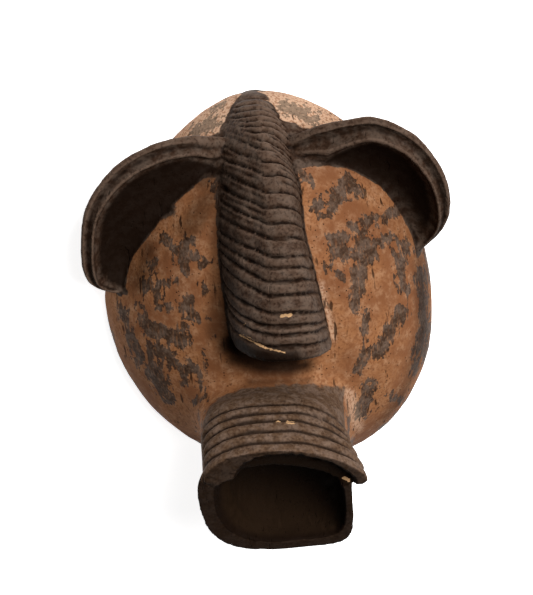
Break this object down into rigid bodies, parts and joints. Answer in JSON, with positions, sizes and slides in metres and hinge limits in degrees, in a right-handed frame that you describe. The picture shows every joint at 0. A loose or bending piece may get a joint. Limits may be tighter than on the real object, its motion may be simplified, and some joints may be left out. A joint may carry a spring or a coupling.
{
  "type": "miniature carved wooden mask",
  "caption": "Small carved wooden animal mask with a ribbed nose ridge, cupped ears and an open ringed muzzle, hollow at the back, in worn tan and dark paint.",
  "frame": {"origin": "middle of the mask's box seen from the front, on the plane of its flat back rim", "axes": "+Z out of the face, +Y to the top of the head, +X to the right seen from the front"},
  "size_m": [0.093, 0.106, 0.0673],
  "materials": {
    "painted_wood": "matte, worn tan ground with flaked dark brown paint"
  },
  "bodies": {
    "root": {"mask": "painted_wood"}
  },
  "joints": []
}
